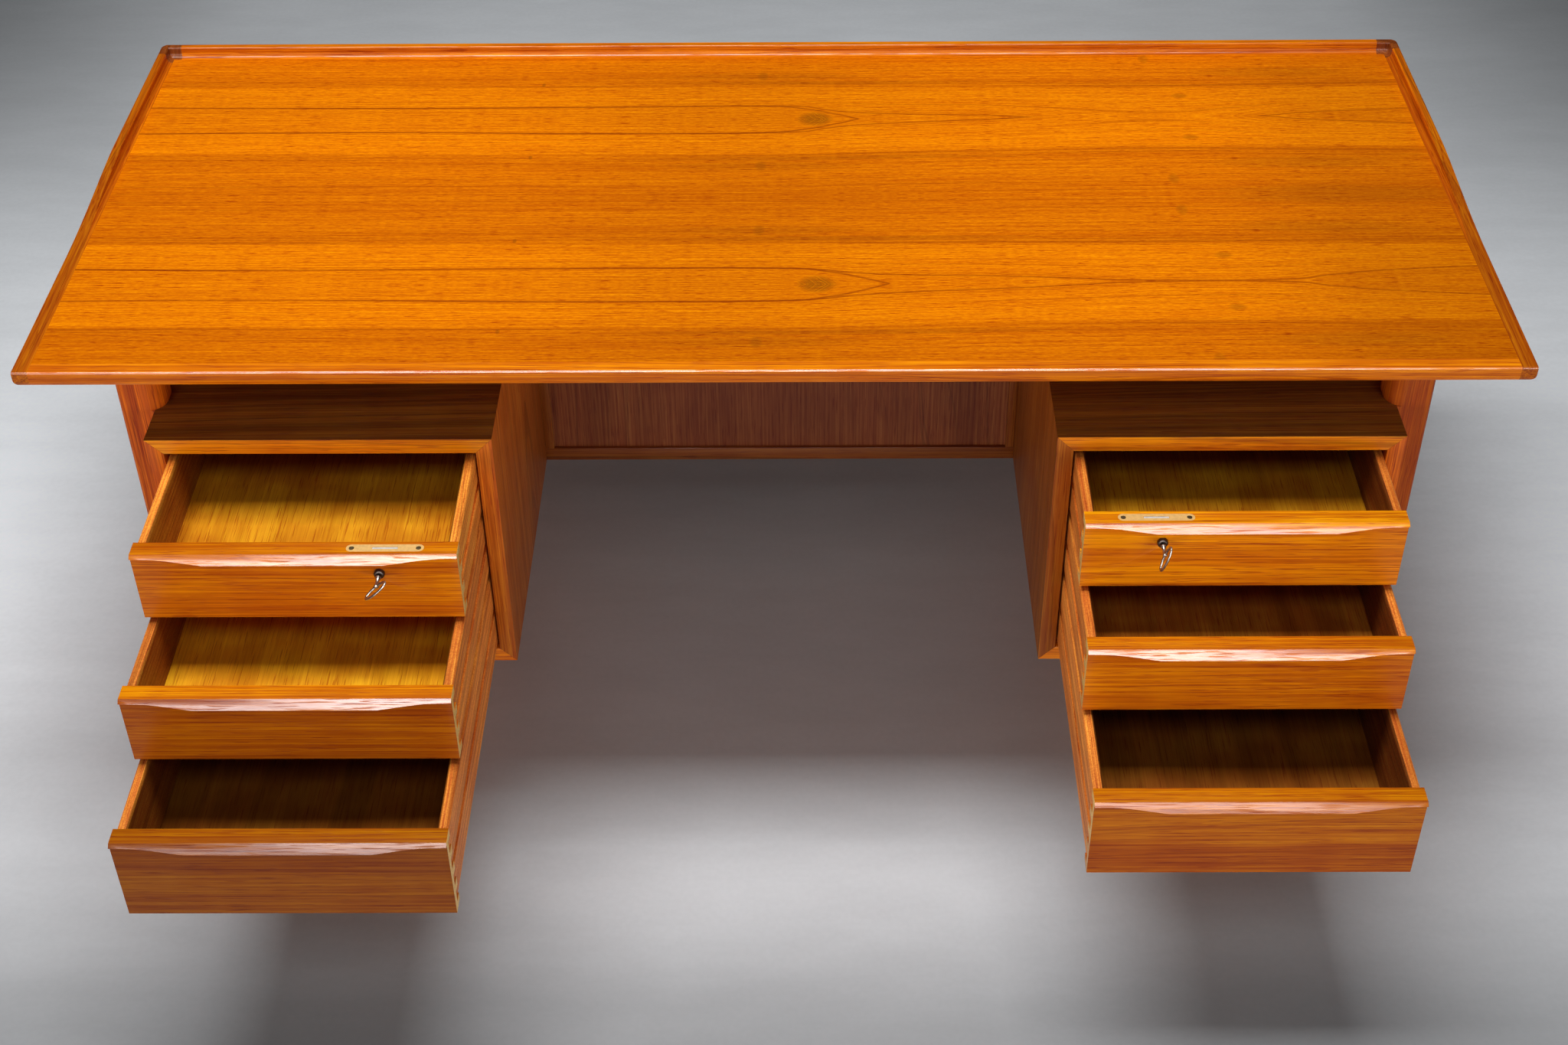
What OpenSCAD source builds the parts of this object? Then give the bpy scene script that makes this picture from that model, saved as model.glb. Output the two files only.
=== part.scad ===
// Writing desk with two hanging drawer pedestals and a floating top, in millimetres.
// The front faces -Y, the floor is Z = 0, and the drawers are drawn as far open as photographed.

/* [Desktop] */
// Width of the desktop over its edge strips
top_w = 1700; // [1500:10:2000]
// Depth of the desktop
top_d = 760; // [740:10:900]
// Height of the working surface above the floor
work_h = 720; // [680:5:780]
// Thickness of the desktop
top_t = 22; // [20:1:30]
// Width of the solid strips round the desktop
strip_w = 18; // [16:1:24]
// Rise of the lip along the back and the rear of the sides
lip_rise = 14; // [9:1:20]
// Width of the flat top of the lip
lip_w = 11; // [9:0.5:12]
// Radius under the outer edges of the strips
under_r = 12; // [6:1:14]
// Radius of the upper edges of the strips
arris_r = 2.5; // [1:0.5:4]
// Radius of the back corners in plan
corner_r = 14; // [6:1:16]
// Length of each arm of the corner blocks
block_w = 28; // [26:1:40]
// Distance from the front at which the side lips have come down flush
sweep_front = 240; // [100:10:300]
// Length of the sweep of the side lips
sweep_len = 300; // [100:10:350]

/* [Legs] */
// Width across the head of a leg, above the pedestal
leg_head_w = 52; // [48:1:75]
// Thickness of a leg outside the pedestal
leg_t = 40; // [28:1:45]
// Depth of a leg from front to back
leg_d = 54; // [44:1:70]
// Set-back of the front legs behind the pedestal's front
leg_set = 58; // [20:1:80]
// Radius of the inner edges of the head
head_r = 20; // [6:1:22]
// Radius of the outer edges of a leg
leg_r = 5; // [2:1:8]
// Width of the foot
foot_w = 24; // [18:1:28]
// Depth of the foot from front to back
foot_d = 28; // [20:1:40]
// Height at which the taper of the leg is half spent
knee_h = 120; // [60:5:180]

/* [Supports] */
// Height of the open gap between a pedestal and the desktop
gap_h = 88; // [50:1:120]
// Thickness of the battens between the heads of the legs
batten_t = 24; // [16:1:36]
// Height of the battens
batten_h = 38; // [24:1:48]
// Thickness of the risers on the inner side of the pedestals
riser_t = 20; // [12:1:30]
// Distance of the risers from the knee-hole
riser_in = 40; // [20:1:80]
// Set-back of the risers behind the pedestal's front
riser_set = 130; // [110:5:180]

/* [Pedestals] */
// How far the desktop reaches out past the legs on each side
side_over = 82; // [60:1:110]
// Width of a pedestal
ped_w = 402; // [340:2:460]
// Height of a pedestal
ped_h = 348; // [330:1:380]
// Set-back of the pedestals behind the desktop's front, and of their backs
ped_set = 20; // [5:1:30]
// Thickness of the pedestal's boards
board_t = 20; // [18:1:24]
// Thickness of the pedestal's back panel
back_t = 8; // [5:1:14]
// Height of a drawer runner
runner_h = 11; // [8:1:16]
// How far a runner stands out of the pedestal's side
runner_out = 7; // [5:0.5:9]

/* [Knee-hole panel] */
// Distance of the panel's frame behind the desktop's front
modesty_set = 430; // [380:5:480]
// Thickness of the panel
modesty_t = 12; // [8:1:18]
// Height of the panel's rails
rail_h = 20; // [14:1:30]
// Width of the panel's side strips
stile_w = 12; // [8:1:20]
// Depth of the rails and side strips
rail_d = 26; // [20:1:40]
// How far the panel lies behind the front of its frame
panel_step = 5; // [2:1:8]

/* [Drawers] */
// Height of the top and middle drawer fronts
front_h = 92; // [86:1:98]
// Thickness of a drawer front behind its pull
front_t = 21; // [20:1:24]
// Overall depth of a drawer, from its face to its back
drawer_d = 600; // [560:5:640]
// Thickness of the drawer sides
side_t = 12; // [10:0.5:16]
// Thickness of the drawer back
rear_t = 12; // [8:1:16]
// Thickness of the drawer bottom
bottom_t = 5; // [4:0.5:6]
// Height of the drawer bottom above the lower edge of the sides
bottom_up = 8; // [5:1:12]
// Depth of the groove that holds the drawer bottom
bottom_in = 5; // [3:0.5:6]
// How far the top of the sides lies under the top of the front
side_drop = 5; // [2:1:10]
// How far the sides stay above the lower edge of the front
side_lift = 3; // [1:1:6]
// Radius of the long edges of the sides
side_r = 4; // [2:0.5:5]
// Depth of the runner groove in the sides
groove_in = 5; // [4:0.5:6]
// Length of the dovetails
tail_len = 12; // [8:1:14]
// Number of dovetails on each side of a top or middle drawer
tails_small = 3; // [2:1:4]
// Number of dovetails on each side of a bottom drawer
tails_deep = 4; // [3:1:5]

/* [Pulls] */
// How far the pull stands out of the face in the middle
pull_out = 9; // [6:0.5:12]
// How far the pull stands out of the face at its ends
pull_end = 4; // [2:0.5:5]
// Height of the blunt edge of the pull
pull_edge = 1.5; // [0.5:0.5:3]
// Length over which the pull runs up at each end
pull_run = 100; // [60:5:120]
// Length over which the hollow under the pull fades in beyond that
pull_fade = 30; // [15:5:30]
// Length of the thin stretch at each end of the pull
pull_flat = 12; // [5:1:30]

/* [Locks] */
// Distance of the lock from the middle of its drawer, towards the knee-hole
lock_off = 100; // [60:5:110]
// Length of the brass plate in the top edge of the drawer front
plate_l = 86; // [70:1:100]
// Width of the brass plate
plate_w = 12; // [9:0.5:14]
// Thickness of the brass plate
plate_t = 1.5; // [1:0.5:2]
// Distance between the plate's screws
screw_gap = 74; // [58:1:84]
// Width of the lock case
case_w = 56; // [40:1:60]
// Height of the lock case
case_h = 42; // [36:1:46]
// Depth of the lock case
case_t = 14; // [13:0.5:15]
// Width of the bolt
bolt_w = 28; // [18:1:34]
// Thickness of the bolt
bolt_t = 3; // [2:0.5:4]
// Rise of the bolt from open to locked
bolt_rise = 8; // [5:0.5:9]
// Height of the keyhole below the top of the drawer front
key_down = 27; // [24:1:30]
// Distance of the keyhole from the middle of the plate, away from the knee-hole
key_off = 8; // [0:1:14]
// Diameter of the lock barrel
barrel_d = 12; // [10:1:14]
// How far the barrel stands out of the face
barrel_out = 5; // [2:1:8]
// Diameter of the key's shank
shank_d = 4.4; // [3:0.2:5]
// Length of the shank in front of the barrel
shank_out = 19; // [12:1:26]
// Length of the key's oval bow
bow_l = 30; // [22:1:36]
// Width of the key's oval bow
bow_w = 16; // [12:1:20]
// Width of the bow's rim
bow_rim = 3.2; // [2:0.2:4]
// Thickness of the bow
bow_t = 2.4; // [1.6:0.2:3]
// Reach of the key's bit from the middle of the shank
bit_reach = 6; // [4:0.5:6.5]

/* [Photographed openings] */
// How far the left top drawer is open
open_left_top = 178; // [0:1:430]
// How far the left middle drawer is open
open_left_middle = 307; // [0:1:430]
// How far the left bottom drawer is open
open_left_bottom = 429; // [0:1:430]
// How far the right top drawer is open
open_right_top = 129; // [0:1:430]
// How far the right middle drawer is open
open_right_middle = 233; // [0:1:430]
// How far the right bottom drawer is open
open_right_bottom = 373; // [0:1:430]
// Angle of the left key's bow above the horizontal
turn_left = 45; // [0:5:90]
// Angle of the right key's bow above the horizontal
turn_right = 74; // [0:2:90]

/* [Hidden] */
$fn = 64;

// Overrun of every cut past the face that it leaves
over = 1;
// Gap round a drawer front inside its pedestal
front_gap = 1;
// Gap above and below each drawer front
row_gap = 2.75;
// Depth of the closed drawer fronts behind the pedestal's front edge
face_in = 1;
// How far the sides lie inside the ends of the drawer front
side_in = 1.5;
// Play of a runner in its groove: above, below and at its depth
runner_seat = 0.3;
runner_drop = 0.7;
runner_play = 0.5;
// Gap between a closed drawer front and the end of its runners
runner_stop = 2;
// Play of the drawer bottom at the ends of its grooves
bottom_play = 0.5;
// How far the top of the drawer back lies under the top of the sides
rear_drop = 6;
// Play round a sliding or turning piece of the lock
lock_play = 0.3;
// Play round a fixed round piece in its hole
fit_play = 0.1;
// Play round the bolt in its mortise
strike_play = 2;
// Wall between the key's room and the bolt's channel
case_wall = 1;
// Depth of the mortise for the bolt beyond its locked reach
strike_over = 2.5;
// Thickness of the key's bit along the shank
bit_t = 3;
// Width of the key's bit
bit_w = 2.6;
// Distance of the end of the shank from the back of the lock case
shank_end = 3;
// Radius and length of the plate's screws
screw_r = 1.5;
screw_head_r = 3;
screw_len = 14;
// Width and depth of the driver slot in the screws
slot_w = 0.8;
slot_in = 0.6;
// Thickness of the slices that a leg's taper is drawn between
slice_t = 0.5;
// Radius of the edges of the foot
foot_r = 8;
// How far the foot stands in from the outer face of the leg
foot_in = 4;
// Share of the taper that a leg has at its knee, across and in depth
knee_share = 0.62;
// Share of a tail's pitch that its root takes
tail_root_share = 0.5;
// Spread of a tail for each unit of its length
tail_slope_share = 0.16;
// Steps in the sweep of the side lips and in the run of a pull
sweep_steps = 16;
run_steps = 12;
fade_steps = 5;
cove_steps = 6;

cove_r = strip_w - lip_w;
under_z = work_h - top_t;
ped_top_z = under_z - gap_h;
ped_low_z = ped_top_z - ped_h;
ped_d = top_d - 2 * ped_set;
leg_out_x = top_w / 2 - side_over;
ped_out_x = leg_out_x - leg_t;
ped_mid_x = ped_out_x - ped_w / 2;
ped_in_x = ped_out_x - ped_w;
knee_w = 2 * ped_in_x;
bay_w = ped_w - 2 * board_t;
bay_h = ped_h - 2 * board_t;
front_w = bay_w - 2 * front_gap;
box_w = front_w - 2 * side_in;
deep_h = bay_h - 2 * front_h - 4 * row_gap;
opens = [open_left_top, open_left_middle, open_left_bottom, open_right_top, open_right_middle,
    open_right_bottom];
// The origin lies half way between the desktop's back edge and the drawer that is furthest out
reach = max(0, max(opens) + pull_out - ped_set - face_in);
front_y = (reach - top_d) / 2;
back_y = front_y + top_d;
ped_y = front_y + ped_set;
row_z = [ped_low_z + board_t + deep_h + 3 * row_gap + front_h, ped_low_z + board_t + deep_h + 2 * row_gap,
    ped_low_z + board_t + row_gap];
row_h = [front_h, front_h, deep_h];
row_tails = [tails_small, tails_small, tails_deep];
case_y = front_t - case_t;
plate_y = (front_t - plate_w) / 2;
bolt_y = plate_y + plate_w / 2;
key_z = front_h - key_down;
bit_y = bolt_y - bit_t / 2;
bit_long = sqrt(bit_reach * bit_reach - bit_w * bit_w / 4);
bolt_low_z = key_z + bit_reach + 2 * lock_play + case_wall;
bolt_top_z = front_h - lock_play;
bit_room_r = bit_reach + lock_play;

oak = "#c46a1b";
lit = "#d9811f";
dark = "#7a3a12";
leg_tone = "#9a4a1c";
pale = "#c88a3c";
ply = "#d29a3c";
brass = "#d8b26a";
steel = "#8d8f92";

// What a quarter circle leaves of the square corner at the origin
module corner_cut(r) {
    difference() {
        translate([-over, -over]) square(r + over);
        translate([r, r]) circle(r);
    }
}

// A solid whose XZ outline runs along +Y for the given length
module along_y(length) {
    mirror([0, 1, 0]) rotate([90, 0, 0]) linear_extrude(length) children();
}

// A solid whose YZ outline runs along +X for the given length
module along_x(length) {
    rotate([90, 0, 90]) linear_extrude(length) children();
}

// The same solid on the other side of the desk
module other_side(right) {
    mirror([right ? 1 : 0, 0, 0]) children();
}

// Outer outline of an edge strip, from its outer lower corner
module strip_outline(width, rise) {
    difference() {
        square([width, top_t + rise]);
        corner_cut(under_r);
        translate([0, top_t + rise]) mirror([0, 1]) corner_cut(arris_r);
    }
}

// What is cut away inside the lip, down to the cove at its foot
module lip_cut(width) {
    difference() {
        translate([lip_w, top_t]) square([width - lip_w + over, lip_rise + over]);
        difference() {
            translate([lip_w, top_t]) square(cove_r);
            translate([strip_w, top_t + cove_r]) circle(cove_r);
        }
    }
    translate([lip_w, top_t + lip_rise]) rotate(180) corner_cut(arris_r);
}

module lip_outline() {
    difference() {
        strip_outline(strip_w, lip_rise);
        lip_cut(strip_w);
    }
}

// Side view of a side strip, from the front, with the sweep up to the lip
module sweep_outline(length) {
    sweep = [for (i = [0:sweep_steps])
        [sweep_front + sweep_len * i / sweep_steps,
        top_t + lip_rise * (1 - cos(180 * i / sweep_steps)) / 2]];
    difference() {
        polygon(concat([[0, 0], [0, top_t]], sweep, [[length, top_t + lip_rise], [length, 0]]));
        corner_cut(under_r);
        translate([0, top_t]) mirror([0, 1]) corner_cut(arris_r);
    }
}

module top_panel() {
    color(lit)
        translate([strip_w - top_w / 2, front_y + strip_w, under_z])
            cube([top_w - 2 * strip_w, top_d - 2 * strip_w, top_t]);
}

module front_strip() {
    color(lit)
        translate([strip_w - top_w / 2, front_y, under_z])
            along_x(top_w - 2 * strip_w) strip_outline(strip_w, 0);
}

module back_lip() {
    color(lit)
        translate([block_w - top_w / 2, back_y, under_z])
            mirror([0, 1, 0]) along_x(top_w - 2 * block_w) lip_outline();
}

module side_lip(right) {
    length = top_d - block_w;
    color(oak)
        other_side(right)
            translate([-top_w / 2, front_y, under_z])
                intersection() {
                    along_y(length) lip_outline();
                    along_x(strip_w) sweep_outline(length);
                }
}

// A rounded back corner between the back lip and a side lip, drawn from its outer corner
module corner_block() {
    difference() {
        intersection() {
            along_y(block_w) strip_outline(block_w, lip_rise);
            along_x(block_w) strip_outline(block_w, lip_rise);
            linear_extrude(top_t + lip_rise) difference() {
                square(block_w);
                corner_cut(corner_r);
            }
        }
        intersection() {
            translate([0, -over, 0]) along_y(block_w + 2 * over) lip_cut(block_w);
            translate([-over, 0, 0]) along_x(block_w + 2 * over) lip_cut(block_w);
        }
        translate([strip_w, strip_w, -over]) cube([block_w, block_w, top_t + lip_rise + 2 * over]);
    }
}

module corner_blocks() {
    color(dark)
        for (right = [false, true])
            other_side(right)
                translate([-top_w / 2, back_y, under_z]) mirror([0, 1, 0]) corner_block();
}

// A rounded rectangle that starts at the given corner
module leg_slice(x, y, width, depth, r) {
    translate([x, y]) difference() {
        square([width, depth]);
        corner_cut(r);
        translate([width, 0]) mirror([1, 0]) corner_cut(r);
        translate([0, depth]) mirror([0, 1]) corner_cut(r);
        translate([width, depth]) rotate(180) corner_cut(r);
    }
}

// A stretch of the taper between two heights, each with its own slice
module leg_taper(low_z, low, high_z, high) {
    hull() {
        translate([0, 0, low_z]) linear_extrude(slice_t, $fn = 32)
            leg_slice(low[0], low[1], low[2], low[3], low[4]);
        translate([0, 0, high_z - slice_t]) linear_extrude(slice_t, $fn = 32)
            leg_slice(high[0], high[1], high[2], high[3], high[4]);
    }
}

// A leg from its outer front corner: head on the pedestal, lap on its side, tapered foot
module leg_form() {
    foot = [foot_in, (leg_d - foot_d) / 2, foot_w, foot_d, foot_r];
    body = [0, 0, leg_t, leg_d, leg_r];
    knee = foot + (body - foot) * knee_share;
    difference() {
        translate([0, 0, ped_top_z]) linear_extrude(gap_h) square([leg_head_w, leg_d]);
        translate([0, 0, ped_top_z - over]) linear_extrude(gap_h + 2 * over) {
            corner_cut(leg_r);
            translate([0, leg_d]) mirror([0, 1]) corner_cut(leg_r);
            translate([leg_head_w, 0]) mirror([1, 0]) corner_cut(head_r);
            translate([leg_head_w, leg_d]) rotate(180) corner_cut(head_r);
        }
    }
    translate([0, 0, ped_low_z]) linear_extrude(ped_h) difference() {
        square([leg_t, leg_d]);
        corner_cut(leg_r);
        translate([0, leg_d]) mirror([0, 1]) corner_cut(leg_r);
    }
    leg_taper(0, foot, knee_h, knee);
    leg_taper(knee_h - slice_t, knee, ped_low_z, body);
}

module leg(right, back) {
    color(leg_tone)
        other_side(right)
            translate([-leg_out_x, back ? back_y - ped_set - leg_set : ped_y + leg_set, 0])
                mirror([0, back ? 1 : 0, 0]) leg_form();
}

module top_battens() {
    length = ped_d - 2 * leg_set - 2 * leg_d;
    color(oak)
        for (right = [false, true])
            other_side(right)
                translate([-ped_out_x, ped_y + leg_set + leg_d, under_z - batten_h])
                    cube([batten_t, length, batten_h]);
}

module top_risers() {
    color(oak)
        for (right = [false, true])
            other_side(right)
                translate([-ped_in_x - riser_in - riser_t, ped_y + riser_set, ped_top_z])
                    cube([riser_t, ped_d - 2 * riser_set, gap_h]);
}

// End view of a board with mitred edges, its outer face on the X axis
module mitred_outline(width) {
    polygon([[0, 0], [width, 0], [width - board_t, board_t], [board_t, board_t]]);
}

// Slot for the bolt of the top drawer, cut up into the board from the closed place of the lock
module strike() {
    x = ped_mid_x - lock_off;
    deep = bolt_rise - lock_play - row_gap + strike_over;
    wide = bolt_w + 2 * strike_play;
    thick = bolt_t + 2 * strike_play;
    translate([-x - wide / 2, ped_y + face_in + bolt_y - thick / 2, ped_top_z - board_t - over])
        cube([wide, thick, deep + over]);
}

module top_board(right) {
    color(oak)
        other_side(right)
            difference() {
                translate([-ped_out_x, ped_y, ped_top_z])
                    mirror([0, 0, 1]) along_y(ped_d) mitred_outline(ped_w);
                strike();
            }
}

module bottom_board(right) {
    color(oak)
        other_side(right)
            translate([-ped_out_x, ped_y, ped_low_z]) along_y(ped_d) mitred_outline(ped_w);
}

module inner_board(right) {
    color(dark)
        other_side(right)
            translate([-ped_in_x, ped_y, ped_low_z]) along_y(ped_d) rotate(90) mitred_outline(ped_h);
}

module outer_board(right) {
    color(oak)
        other_side(right)
            translate([-ped_out_x, ped_y, ped_top_z]) along_y(ped_d) rotate(-90) mitred_outline(ped_h);
}

module back_panel(right) {
    color(dark)
        other_side(right)
            translate([-ped_out_x + board_t, ped_y + ped_d - back_t, ped_low_z + board_t])
                cube([bay_w, back_t, bay_h]);
}

// Height of the middle of a drawer's sides
function side_mid(row) = row_z[row] + (row_h[row] + side_lift - side_drop) / 2;

module drawer_runners() {
    start = face_in + front_t + runner_stop;
    color(pale)
        for (right = [false, true], row = [0:2], x = [-ped_out_x + board_t, -ped_in_x - board_t - runner_out])
            other_side(right)
                translate([x, ped_y + start, side_mid(row) - runner_h / 2])
                    cube([runner_out, ped_d - back_t - start, runner_h]);
}

module modesty_panel() {
    color(dark)
        translate([stile_w - knee_w / 2, front_y + modesty_set + panel_step, ped_low_z + rail_h])
            cube([knee_w - 2 * stile_w, modesty_t, ped_h - 2 * rail_h]);
}

module modesty_rails() {
    color(oak)
        for (z = [0, ped_h - rail_h])
            translate([-knee_w / 2, front_y + modesty_set, ped_low_z + z]) cube([knee_w, rail_d, rail_h]);
}

module modesty_strips() {
    color(oak)
        for (right = [false, true])
            other_side(right)
                translate([-knee_w / 2, front_y + modesty_set, ped_low_z + rail_h])
                    cube([stile_w, rail_d, ped_h - 2 * rail_h]);
}

// Side view of a drawer front: flat top, sloping nose, blunt edge and the cove under it
module front_outline(h) {
    low = h - 2 * pull_out - pull_edge;
    cove = [for (i = [0:cove_steps])
        [-pull_out + pull_out * sin(90 * i / cove_steps), low + pull_out * cos(90 * i / cove_steps)]];
    polygon(concat([[0, 0], [front_t, 0], [front_t, h], [0, h], [-pull_out, h - pull_out]], cove));
}

// Front view of what is cut from under the pull towards one end
module run_outline(h) {
    lip = pull_out + pull_edge;
    end = front_w / 2;
    start = end - pull_flat;
    run = [for (i = [0:run_steps])
        [start - pull_run * i / run_steps,
        h - pull_end - (lip - pull_end) * (1 - cos(180 * i / run_steps)) / 2]];
    fade = [for (i = [1:fade_steps])
        [start - pull_run - pull_fade * i / fade_steps,
        h - lip - pull_out * (1 - cos(90 * i / fade_steps))]];
    polygon(concat([[end + over, h - lip - pull_out], [end + over, h - pull_end]], run, fade));
}

// Side view of one side's dovetails, which point forward into the front
module tails_outline(h, count) {
    tall = h - side_drop - side_lift;
    pitch = tall / count;
    root = pitch * tail_root_share / 2;
    tip = root + tail_len * tail_slope_share;
    for (i = [0:count - 1])
        translate([0, side_lift + pitch * (i + 1 / 2)])
            polygon([[front_t + over, -root], [front_t, -root], [front_t - tail_len, -tip],
                [front_t - tail_len, tip], [front_t, root], [front_t + over, root]]);
}

module tail_sockets(h, count) {
    for (x = [-front_w / 2 - over, box_w / 2 - side_t])
        translate([x, 0, 0]) along_x(side_in + side_t + over) tails_outline(h, count);
}

module base_groove(play) {
    half = box_w / 2 - side_t + bottom_in - play;
    length = drawer_d - front_t + bottom_in - play + (play == 0 ? over : 0);
    translate([-half, front_t - bottom_in + play, side_lift + bottom_up])
        cube([2 * half, length, bottom_t]);
}

// Room for the lock in the top edge and the back of a drawer front
module lock_room(h) {
    x = lock_off;
    translate([x, plate_y, h - plate_t]) plate_slab(plate_t + over);
    translate([x - case_w / 2, case_y, h - plate_t - case_h])
        cube([case_w, case_t + over, case_h + over]);
    translate([x - key_off, -over, key_z]) rotate([-90, 0, 0])
        cylinder(h = case_y + 2 * over, d = barrel_d + 2 * fit_play);
    for (side = [-1, 1])
        translate([x + side * screw_gap / 2, bolt_y, h - plate_t - screw_len])
            cylinder(h = screw_len, r = screw_r + fit_play);
}

module drawer_front(h, count, locked) {
    color(lit)
        difference() {
            translate([-front_w / 2, 0, 0]) along_x(front_w) front_outline(h);
            for (end = [0, 1])
                mirror([end, 0, 0]) translate([0, -pull_out - over, 0])
                    along_y(pull_out + over) run_outline(h);
            tail_sockets(h, count);
            base_groove(0);
            if (locked)
                lock_room(h);
        }
}

// End view of a drawer side, from its lower outer corner
module side_outline(tall) {
    groove = runner_h + runner_seat + runner_drop;
    difference() {
        square([side_t, tall]);
        corner_cut(side_r);
        translate([0, tall]) mirror([0, 1]) corner_cut(side_r);
        translate([side_t, tall]) rotate(180) corner_cut(side_r);
        translate([-over, tall / 2 - runner_h / 2 - runner_drop]) square([groove_in + over, groove]);
    }
}

// The left side of a drawer, with its dovetails and the groove for the bottom
module drawer_side(h, count) {
    tall = h - side_drop - side_lift;
    difference() {
        union() {
            translate([-box_w / 2, front_t, side_lift]) along_y(drawer_d - front_t) side_outline(tall);
            intersection() {
                translate([-box_w / 2, 0, 0]) along_x(side_t) tails_outline(h, count);
                translate([-box_w / 2, 0, 0]) cube([side_t, front_t, h]);
            }
        }
        base_groove(0);
    }
}

module drawer_sides(h, count) {
    color(pale)
        for (right = [false, true])
            other_side(right) drawer_side(h, count);
}

module drawer_rear(h) {
    low = side_lift + bottom_up + bottom_t;
    half = box_w / 2 - side_t;
    color(pale)
        translate([-half, drawer_d - rear_t, low])
            cube([2 * half, rear_t, h - side_drop - rear_drop - low]);
}

module drawer_base() {
    color(ply) base_groove(bottom_play);
}

// Places a drawer's piece in its row, as far open as photographed
module in_row(right, row) {
    open = opens[(right ? 3 : 0) + row];
    translate([right ? ped_mid_x : -ped_mid_x, ped_y + face_in - open, row_z[row]])
        other_side(right) children();
}

// The plate's slab, round at both ends, centred in X
module plate_slab(thick) {
    r = plate_w / 2;
    translate([r - plate_l / 2, 0, 0]) cube([plate_l - plate_w, plate_w, thick]);
    for (side = [-1, 1])
        translate([side * (plate_l / 2 - r), r, 0]) cylinder(h = thick, r = r);
}

// Brass plate and lock case, one riveted unit, in the front's own frame
module lock_unit(h) {
    x = lock_off;
    thick = bolt_t + 2 * lock_play;
    color(brass)
        difference() {
            union() {
                translate([x, plate_y, h - plate_t]) plate_slab(plate_t);
                translate([x - case_w / 2, case_y, h - plate_t - case_h]) cube([case_w, case_t, case_h]);
            }
            translate([x - bolt_w / 2 - lock_play, bolt_y - thick / 2, bolt_low_z - lock_play])
                cube([bolt_w + 2 * lock_play, thick, h]);
            translate([x - key_off, case_y - over, key_z]) rotate([-90, 0, 0])
                cylinder(h = case_t - shank_end + over + lock_play, d = shank_d + 2 * lock_play);
            translate([x - key_off, bit_y - lock_play, key_z]) rotate([-90, 0, 0])
                cylinder(h = bit_t + 2 * lock_play, r = bit_room_r);
            for (side = [-1, 1])
                translate([x + side * screw_gap / 2, bolt_y, h - plate_t - over]) {
                    cylinder(h = plate_t + 2 * over, r = screw_r + fit_play);
                    translate([0, 0, over])
                        cylinder(h = plate_t, r1 = screw_r + fit_play, r2 = screw_head_r + fit_play);
                }
        }
}

module lock_bolt() {
    color(steel)
        translate([lock_off - bolt_w / 2, bolt_y - bolt_t / 2, bolt_low_z])
            cube([bolt_w, bolt_t, bolt_top_z - bolt_low_z]);
}

// Turned barrel with a rounded lip, standing out of the drawer's face
module lock_barrel() {
    r = barrel_d / 2;
    lip = barrel_out / 2;
    bore = shank_d / 2 + lock_play;
    color(steel)
        translate([lock_off - key_off, -barrel_out, key_z]) rotate([-90, 0, 0])
            rotate_extrude() difference() {
                translate([bore, 0]) square([r - bore, barrel_out + case_y]);
                translate([r, 0]) mirror([1, 0]) corner_cut(lip);
            }
}

// Flat oval bow, its long axis along X and its rim in the XY plane
module bow_outline(inset) {
    r = bow_w / 2;
    span = bow_l / 2 - r;
    square([2 * span, bow_w - 2 * inset], center = true);
    for (side = [-1, 1])
        translate([side * span, 0]) circle(r - inset);
}

// Key with its shank along Y, its bit in the case and its bow at the given angle
module lock_key(angle) {
    inner = case_y + case_t - shank_end;
    head_y = -barrel_out - shank_out;
    color(steel)
        translate([lock_off - key_off, 0, key_z]) rotate([0, -angle, 0]) {
            translate([0, head_y, 0]) rotate([-90, 0, 0])
                cylinder(h = inner - head_y, d = shank_d);
            translate([0, head_y - bow_w / 2 + bow_rim / 2, -bow_t / 2])
                linear_extrude(bow_t) difference() {
                    bow_outline(0);
                    bow_outline(bow_rim);
                }
            translate([-bit_long, bit_y, -bit_w / 2]) cube([bit_long, bit_t, bit_w]);
        }
}

module plate_screws(h) {
    head = (screw_head_r - screw_r);
    color(brass)
        for (side = [-1, 1])
            translate([lock_off + side * screw_gap / 2, bolt_y, 0])
                difference() {
                    union() {
                        translate([0, 0, h - plate_t - screw_len + over])
                            cylinder(h = screw_len - over, r = screw_r);
                        translate([0, 0, h - plate_t])
                            cylinder(h = plate_t, r1 = screw_r, r2 = screw_head_r);
                    }
                    translate([-screw_head_r - over, -slot_w / 2, h - slot_in])
                        cube([2 * screw_head_r + 2 * over, slot_w, slot_in + over]);
                }
}

top_panel();
front_strip();
back_lip();
side_lip(false);  // side_lip_left
side_lip(true);  // side_lip_right
corner_blocks();
leg(false, false);  // leg_front_left
leg(false, true);  // leg_back_left
leg(true, false);  // leg_front_right
leg(true, true);  // leg_back_right
top_battens();
top_risers();
top_board(false);  // left_top_board
bottom_board(false);  // left_bottom_board
inner_board(false);  // left_inner_board
outer_board(false);  // left_outer_board
back_panel(false);  // left_back_panel
top_board(true);  // right_top_board
bottom_board(true);  // right_bottom_board
inner_board(true);  // right_inner_board
outer_board(true);  // right_outer_board
back_panel(true);  // right_back_panel
drawer_runners();
modesty_panel();
modesty_rails();
modesty_strips();
in_row(false, 0) drawer_front(front_h, tails_small, true);  // left_top_front
in_row(false, 0) drawer_sides(front_h, tails_small);  // left_top_sides
in_row(false, 0) drawer_rear(front_h);  // left_top_rear
in_row(false, 0) drawer_base();  // left_top_base
in_row(false, 1) drawer_front(front_h, tails_small, false);  // left_middle_front
in_row(false, 1) drawer_sides(front_h, tails_small);  // left_middle_sides
in_row(false, 1) drawer_rear(front_h);  // left_middle_rear
in_row(false, 1) drawer_base();  // left_middle_base
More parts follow.
